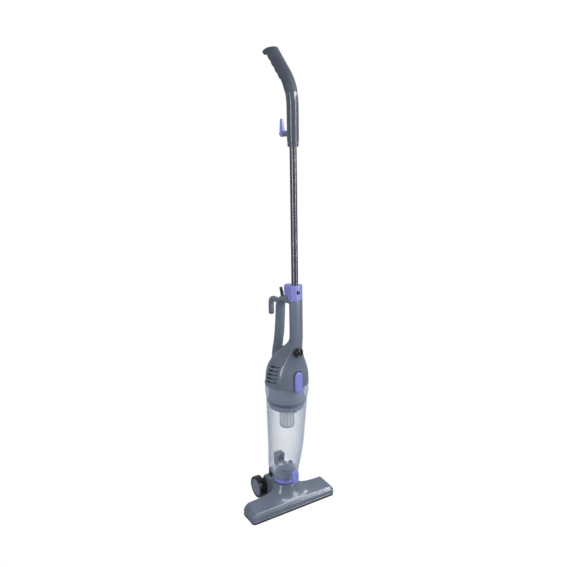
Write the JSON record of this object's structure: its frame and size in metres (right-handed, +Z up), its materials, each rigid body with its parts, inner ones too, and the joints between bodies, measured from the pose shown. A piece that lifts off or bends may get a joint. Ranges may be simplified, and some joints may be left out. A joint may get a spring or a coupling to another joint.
{
  "type": "stick vacuum cleaner",
  "caption": "Upright two-in-one stick vacuum with floor head, clear dust cup, hand-held motor unit with D-handle, and a wand with bent grip.",
  "frame": {"origin": "on the floor, under the middle of the object's bounding box", "axes": "+Z up, front (buttons) towards -Y, floor head's long side along X"},
  "size_m": [0.25, 0.1624, 1.1478],
  "materials": {
    "slate_gloss": "moulded gloss",
    "slate_matte": "fine texture",
    "lilac_gloss": "moulded gloss",
    "clear_cup": "clear moulded polycarbonate",
    "grey_plastic": "moulded satin",
    "black_plastic": "moulded gloss",
    "black_rubber": "matte",
    "tyre_rubber": "smooth",
    "tube_steel": "dark polished",
    "steel": "plain",
    "fan_metal": "pressed",
    "filter_media": "pleated",
    "foam": "open-cell foam",
    "nylon_bristle": "tufted",
    "lint_fabric": "short pile"
  },
  "bodies": {
    "floor_head": {"head_cover": "slate_gloss", "sole_plate": "slate_matte", "bumper_strip": "black_rubber", "bristle_rows": "nylon_bristle", "lint_strips": "lint_fabric", "spigot": "grey_plastic", "spigot_seal": "black_rubber", "wheel_axle": "steel", "head_screws": "steel"},
    "wheel_left": {"wheel_left_tyre": "tyre_rubber", "wheel_left_hub": "slate_matte", "wheel_left_cap": "grey_plastic"},
    "wheel_right": {"wheel_right_tyre": "tyre_rubber", "wheel_right_hub": "slate_matte", "wheel_right_cap": "grey_plastic"},
    "dust_cup": {"cup_shell": "clear_cup", "cup_base": "clear_cup", "cup_foot_ring": "lilac_gloss", "side_clips": "black_plastic", "inlet_duct": "grey_plastic", "flap_pin": "steel", "head_button_spring": "steel"},
    "head_release": {"head_button": "lilac_gloss"},
    "inlet_flap": {"inlet_flap": "black_rubber"},
    "motor_unit": {"housing_left": "slate_gloss", "housing_right": "slate_gloss", "motor_can": "steel", "fan_cowl": "steel", "motor_mounts": "black_rubber", "exhaust_foam": "foam", "switch_bezel": "slate_matte", "switch_body": "slate_matte", "power_button_spring": "steel", "cup_button_spring": "steel", "collar": "lilac_gloss", "tube_catch_spring": "steel", "cord_boot": "black_rubber", "fixed_cord_hook": "slate_gloss", "housing_screws": "steel"},
    "rotor": {"rotor_shaft": "steel", "impeller": "fan_metal"},
    "power_button": {"power_button": "black_plastic"},
    "cup_release": {"cup_button": "lilac_gloss"},
    "tube_catch": {"tube_catch": "black_plastic"},
    "filter": {"filter_base": "grey_plastic", "filter_seal": "black_rubber", "filter_frame": "grey_plastic", "filter_pleats": "filter_media"},
    "wand": {"tube": "tube_steel", "handle_ring": "slate_gloss", "handle_left": "slate_gloss", "handle_right": "slate_gloss", "soft_grip": "slate_matte", "hook_stub": "slate_gloss", "hook_screw": "steel", "handle_screws": "steel"},
    "cord_hook": {"swivel_hook": "lilac_gloss"}
  },
  "joints": [
    {"name": "wheel_left_spin", "type": "hinge", "parent": "floor_head", "child": "wheel_left", "pos_m": [-0.05, 0.052, 0.029], "axis": [1, 0, 0], "continuous": true},
    {"name": "wheel_right_spin", "type": "hinge", "parent": "floor_head", "child": "wheel_right", "pos_m": [0.05, 0.052, 0.029], "axis": [1, 0, 0], "continuous": true},
    {"name": "head_lift", "type": "slide", "parent": "floor_head", "child": "dust_cup", "axis": [0, 0, 1], "range_m": [0, 0.06]},
    {"name": "head_button_press", "type": "slide", "parent": "dust_cup", "child": "head_release", "axis": [0, 1, 0], "range_m": [0, 0.0025], "stiffness_N_per_m": 1200, "springref_m": -0.001, "deforming": ["head_button_spring"]},
    {"name": "inlet_flap_swing", "type": "hinge", "parent": "dust_cup", "child": "inlet_flap", "pos_m": [0, 0.0136, 0.127], "axis": [-1, 0, 0], "range_deg": [0, 60]},
    {"name": "cup_part", "type": "slide", "parent": "dust_cup", "child": "motor_unit", "axis": [0, 0, 1], "range_m": [0, 0.14]},
    {"name": "filter_twist", "type": "hinge", "parent": "motor_unit", "child": "filter", "pos_m": [0, -0.0192, 0.34], "axis": [0, 0, 1], "range_deg": [0, 30]},
    {"name": "rotor_spin", "type": "hinge", "parent": "motor_unit", "child": "rotor", "pos_m": [0, -0.02, 0.39], "axis": [0, 0, 1], "continuous": true},
    {"name": "power_button_press", "type": "slide", "parent": "motor_unit", "child": "power_button", "axis": [0, 1, 0], "range_m": [0, 0.0025], "stiffness_N_per_m": 1200, "springref_m": -0.001, "deforming": ["power_button_spring"]},
    {"name": "cup_button_press", "type": "slide", "parent": "motor_unit", "child": "cup_release", "axis": [0, 1, 0], "range_m": [0, 0.002], "stiffness_N_per_m": 1200, "springref_m": -0.001, "deforming": ["cup_button_spring"]},
    {"name": "tube_lift", "type": "slide", "parent": "motor_unit", "child": "wand", "axis": [0, 0, 1], "range_m": [0, 0.06]},
    {"name": "tube_catch_press", "type": "slide", "parent": "motor_unit", "child": "tube_catch", "axis": [0, 1, 0], "range_m": [0, 0.0015], "stiffness_N_per_m": 1500, "springref_m": -0.0005, "deforming": ["tube_catch_spring"]},
    {"name": "cord_hook_swivel", "type": "hinge", "parent": "wand", "child": "cord_hook", "pos_m": [0, -0.024, 0.9585], "axis": [0, 1, 0], "range_deg": [0, 180]}
  ]
}
